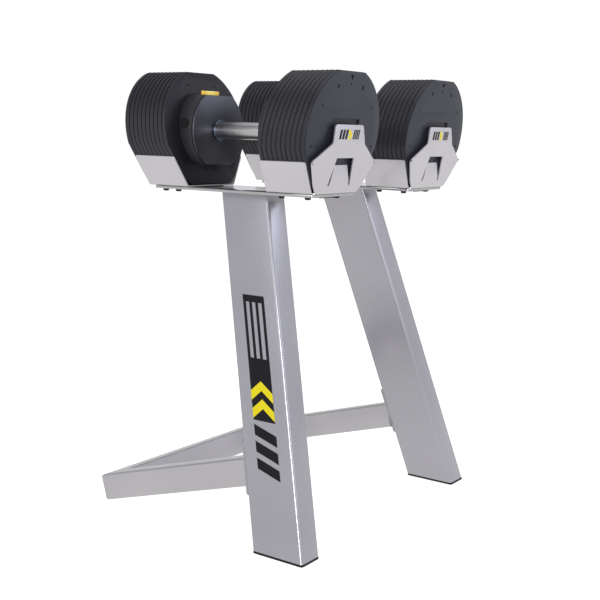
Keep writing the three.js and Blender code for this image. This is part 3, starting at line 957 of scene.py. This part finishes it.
def window_yellow(side):
    """Yellow strip with a painted highlight in the middle of one window, painted shade turning it
    orange at its ends, and a faint painted glow.
    """
    material, shader, place = finish(
        f"indicator_yellow_{side}", roughness=0.2, coat_weight=0.6, coat_roughness=0.06
    )
    off = (place.axes()[0] - axis_x[side]).only("ABSOLUTE")
    # Painted highlight and shade: bright yellow at the window's middle, painted darker orange
    # towards its ends.
    colour = off.clip(4 * MM, 24 * MM).blend((1.0, 0.8, 0.22), (0.85, 0.5, 0.02))
    grain = place.grain(300)
    wire(shader, base_color=colour, emission_color=colour, normal=grain.bump(0.02, 0.3))
    # Painted light: a faint emission makes the strip glow, though it is no lamp.
    shader.inputs["Emission Strength"].default_value = 0.22
    return material


for side in ("left", "right"):
    window = block(f"weight_window_{side}", *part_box(f"{side}_indicator"))
    pick(window, "EDGE", lambda e: True)
    bpy.ops.mesh.bevel(offset=1.1 * MM, segments=3)
    close(window, 50)
    fit(window, f"{side}_handle", "indicator_yellow", window_yellow(side), f"{side}_indicator")

# ---- Grips --------------------------------------------------------------------------
# A steel tube that twists between the hubs to pick the weight, brushed along its length
# over a fine diamond knurl, with turned rings near both ends.
GRIP_RADIUS = 15.5 * MM
GRIP_NECK = 4.3 * MM
GRIP_BORE = 6 * MM


def grip_steel(side):
    """Brushed and knurled steel, its pattern centred on one grip's axis."""
    material, shader, place = finish(f"grip_steel_{side}", metallic=1.0)
    local = place.node("ShaderNodeVectorMath", {"operation": "SUBTRACT"},
                       {0: place, 1: (axis_x[side], middle_y, axis_z)})
    x, y, z = local.axes()
    turn = x.maths("ARCTAN2", z)
    ridges = [(turn * 36 + y * (hand * 2400)).only("SINE") for hand in (-1, 1)]
    knurl = ridges[0] * ridges[1] * 0.5 + 0.5
    streak = local.grain(900, detail=3, stretch=(1, 60, 1))
    wire(
        shader,
        base_color=(streak * 0.6 + knurl * 0.4).clip(0.2, 0.8).blend(
            (0.34, 0.34, 0.34), (0.78, 0.77, 0.77)
        ),
        roughness=streak * 0.16 + 0.26,
        normal=(knurl * 0.5 + streak * 0.5).bump(0.08, 0.5),
    )
    return material


for side in ("left", "right"):
    low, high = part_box(f"{side}_grip")
    bpy.ops.object.select_all(action="DESELECT")
    bpy.ops.mesh.primitive_cylinder_add(
        vertices=96, radius=GRIP_RADIUS, depth=high.y - low.y - 2 * GRIP_NECK,
        location=(axis_x[side], middle_y, axis_z), rotation=(math.pi / 2, 0, 0),
    )
    grip = bpy.context.object
    grip.name = f"twist_grip_{side}"
    settle()
    for sign in (-1, 1):
        pick(grip, "FACE", lambda f: f.normal.y * sign > 0.9)
        bpy.ops.mesh.inset(thickness=1.9 * MM)
        bpy.ops.mesh.extrude_region_move(
            TRANSFORM_OT_translate={"value": (0, sign * GRIP_NECK, 0)})
        bpy.ops.mesh.inset(thickness=2 * MM)
        bpy.ops.mesh.extrude_region_move(
            TRANSFORM_OT_translate={"value": (0, -sign * GRIP_BORE, 0)})
    pick(grip, "EDGE", lambda e: len(e.link_faces) == 2 and abs(run_of(e).y) < 0.1
         and (middle_of(e) - Vector((axis_x[side], middle_of(e).y, axis_z))).length > 15 * MM)
    bpy.ops.mesh.bevel(offset=0.8 * MM, segments=3)
    close(grip)
    fit(grip, f"{side}_grip", "grip_steel", grip_steel(side), f"{side}_grip")

# ---- Selector bars --------------------------------------------------------------------
# Flat steel bars parked inside the grip and drums; the frame's own solids, ground finish.
bar_steel, bar_shader, place = finish("bar_ground", metallic=1.0)
wire(
    bar_shader,
    base_color=place.grain(1200, detail=2, stretch=(1, 40, 1)).blend(
        (0.34, 0.34, 0.35), (0.5, 0.5, 0.51)
    ),
    roughness=place.grain(900, stretch=(1, 30, 1)) * 0.15 + 0.25,
)
for side in ("left", "right"):
    for end in ("front", "rear"):
        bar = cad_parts[f"{side}_selector_{end}"]
        for spot in bar.material_slots:
            spot.material = bar_steel

# ---- Screws under the trays -------------------------------------------------------------
# Black pan-head screws that hold each cradle to its tray, four under each head, in rows
# given in mm along the tray and to each side of the dumbbell's axis.
SCREW_RADIUS = 5.5 * MM
SCREW_HIGH = 5.5 * MM
SCREW_OFF = 44
SCREW_ROWS = {"front": (-105, -160), "rear": (131, 162)}

bpy.ops.object.select_all(action="DESELECT")
bpy.ops.mesh.primitive_cylinder_add(
    vertices=32, radius=SCREW_RADIUS, depth=SCREW_HIGH, location=(0, 0, -SCREW_HIGH / 2)
)
screw = bpy.context.object
screw.name = "screw"
settle()
deep = -SCREW_HIGH + 0.1 * MM
pick(screw, "EDGE", lambda e: middle_of(e).z < deep and abs(run_of(e).z) < 0.1)
bpy.ops.mesh.bevel(offset=2.2 * MM, segments=5)
pick(screw, "FACE", lambda f: f.normal.z < -0.99 and f.calc_center_median().z < deep)
bpy.ops.mesh.inset(thickness=0.8 * MM)
bpy.ops.mesh.extrude_region_move(TRANSFORM_OT_translate={"value": (0, 0, 2 * MM)})
bpy.ops.object.mode_set(mode="OBJECT")
tray_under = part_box("tray_left")[0].z
for side in ("left", "right"):
    for end, stations in SCREW_ROWS.items():
        for row, y in enumerate(stations):
            for column, x in (("left", -SCREW_OFF), ("right", SCREW_OFF)):
                piece = copy_to(
                    screw, f"tray_screw_{side}_{end}_{row + 1}_{column}",
                    axis_x[side] + x * MM, "rear", tray_under,
                )
                piece.location = (0, y * MM, 0)
                settle()
                close(piece)
                fit(piece, "stand", "bar_steel", bolt_steel)
bpy.data.objects.remove(screw)

# ---- Printed graphics ---------------------------------------------------------------
# Cut vinyl on the outer face of each leg and on the two front tabs: plain black bars with
# yellow chevrons, kept free of any lettering.
VINYL = 0.25 * MM
PRINT_HALF = 23.5 * MM


def vinyl(name, dark, light):
    material, shader, place = finish(name, specular_ior_level=0.2)
    wire(
        shader,
        base_color=place.grain(40, detail=3).blend(dark, light),
        roughness=place.grain(260, detail=3) * 0.2 + 0.25,
        normal=place.grain(420).bump(0.03, 0.4),
    )
    return material


vinyl_black = vinyl("vinyl_black", (0.004, 0.004, 0.006), (0.009, 0.009, 0.012))
vinyl_yellow = vinyl("vinyl_yellow", (0.72, 0.6, 0.005), (0.84, 0.72, 0.02))


def leg_stripe(side, front, back, z0, z1, drop=0, proud=1):
    """A stripe on a leg's outer face, in mm from the leg's middle and up from the floor;
    its front end is dropped for a slant."""
    low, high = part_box(f"leg_{side}")
    lean = leg_lean[side]
    outward = -1 if side == "left" else 1
    foot = Vector((low.x if side == "left" else high.x, low.y + LEG_DEPTH / 2, low.z))
    base = foot + lean * (z0 * MM - low.z)
    x = sorted((base.x, base.x + outward * proud * VINYL))
    stripe = block(
        "stripe", (x[0], base.y + front * MM, z0 * MM), (x[1], base.y + back * MM, z1 * MM)
    )
    pick(stripe, "VERT", lambda v: v.co.z > (z0 + z1) / 2 * MM)
    bpy.ops.transform.translate(value=lean * (z1 - z0) * MM)
    if drop:
        centre = base.y + (front + back) / 2 * MM
        pick(stripe, "VERT",
             lambda v: v.co.y - lean.y * (v.co.z - z0 * MM) < centre)
        bpy.ops.transform.translate(value=(lean + Vector((0, 0, 1))) * -drop * MM)
    bpy.ops.object.mode_set(mode="OBJECT")
    return stripe


for side in ("left", "right"):
    wide = PRINT_HALF / MM
    black = [leg_stripe(side, -wide, wide, 425, 437), leg_stripe(side, -wide, wide, 225, 330)]
    for front in (-wide, -9.5, 4, 17.5):
        black.append(leg_stripe(side, front, front + 6, 330, 425))
    for z in (188, 160, 132):
        black.append(leg_stripe(side, -wide, wide, z + 12, z + 30, drop=14))
    weld(*black)
    black[0].name = f"leg_print_black_{side}"
    close(black[0])
    fit(black[0], "stand", "stand_paint", vinyl_black)
    yellow = []
    for z in (246, 276):
        yellow.append(leg_stripe(side, -wide, 0, z, z + 16, drop=18, proud=2))
        yellow.append(leg_stripe(side, 0, wide, z - 18, z - 2, drop=-18, proud=2))
    weld(*yellow)
    yellow[0].name = f"leg_print_yellow_{side}"
    close(yellow[0])
    fit(yellow[0], "stand", "stand_paint", vinyl_yellow)


def tab_stripe(side, x0, x1, h0, h1, skew, proud=1):
    """A slanted stripe on a front tab, in mm from the tab's middle and up from the tray."""
    face = middle_y - (END_FOOT + END_LEAN * TAB_FOLD * MM)
    foot = Vector((axis_x[side], face, tray_top))
    stripe = block(
        "stripe", foot + Vector((x0, -proud * VINYL / MM, h0)) * MM,
        foot + Vector((x1, 0, h1)) * MM,
    )
    pick(stripe, "VERT", lambda v: v.co.z > tray_top + (h0 + h1) / 2 * MM)
    bpy.ops.transform.translate(value=(skew * MM, 0, 0))
    bpy.ops.object.mode_set(mode="OBJECT")
    return stripe


for side in ("left", "right"):
    black = [tab_stripe(side, x, x + 6, 93, 109, 6) for x in (-34, -25, -16)]
    black += [tab_stripe(side, x, x + 3, 93, 109, 6) for x in (8, 13, 18, 23)]
    weld(*black)
    black[0].name = f"tab_print_black_{side}"
    close(black[0])
    fit(black[0], "stand", "cradle_paint", vinyl_black)
    yellow = [tab_stripe(side, -7, 1, 93, 101, 6), tab_stripe(side, -1, 7, 101, 109, -6)]
    weld(*yellow)
    yellow[0].name = f"tab_print_yellow_{side}"
    close(yellow[0])
    fit(yellow[0], "stand", "cradle_paint", vinyl_yellow)
